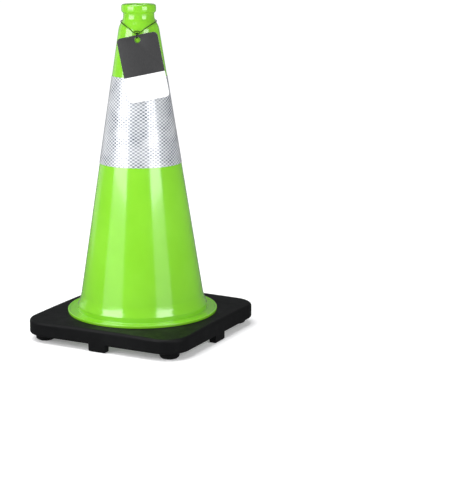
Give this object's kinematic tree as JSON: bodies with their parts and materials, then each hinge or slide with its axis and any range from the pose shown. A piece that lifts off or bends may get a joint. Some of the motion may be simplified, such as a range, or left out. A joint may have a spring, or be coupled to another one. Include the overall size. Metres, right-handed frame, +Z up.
{
  "type": "traffic cone",
  "caption": "Lime traffic cone with a lip and neck on top, a silver reflective collar, a pegged-on black square base with feet, and a hang tag on a string.",
  "frame": {"origin": "centre of the square base, on the plane its feet stand on", "axes": "+Z up the cone; X and Y along the sides of the base; the hang tag faces between -Y and +X"},
  "size_m": [0.247, 0.247, 0.4572],
  "materials": {
    "lime_vinyl": "gloss",
    "black_rubber": "matte",
    "reflective_sheeting": "prismatic",
    "black_string": "matte",
    "tag_card": "satin"
  },
  "bodies": {
    "cone": {"cone_body": "lime_vinyl", "base": "black_rubber", "retaining_ring": "black_rubber", "locking_pegs": "lime_vinyl", "reflective_collar": "reflective_sheeting"},
    "neck_loop": {"tag_string": "black_string", "string_knot": "black_string"},
    "link": {"tag_link": "black_string"},
    "tag": {"hang_tag": "tag_card"}
  },
  "joints": [
    {"name": "loop_turn", "type": "hinge", "parent": "cone", "child": "neck_loop", "pos_m": [0, 0, 0.43], "axis": [0, 0, 1], "continuous": true},
    {"name": "tag_lift", "type": "hinge", "parent": "neck_loop", "child": "link", "pos_m": [0.01321, -0.0277, 0.41954], "axis": [-0.9026, -0.4305, 0], "range_deg": [0, 90]},
    {"name": "tag_swing", "type": "hinge", "parent": "link", "child": "tag", "pos_m": [0.01356, -0.02844, 0.4144], "axis": [0.4252, -0.8915, 0.1561], "range_deg": [-26.5, 3.5]}
  ]
}
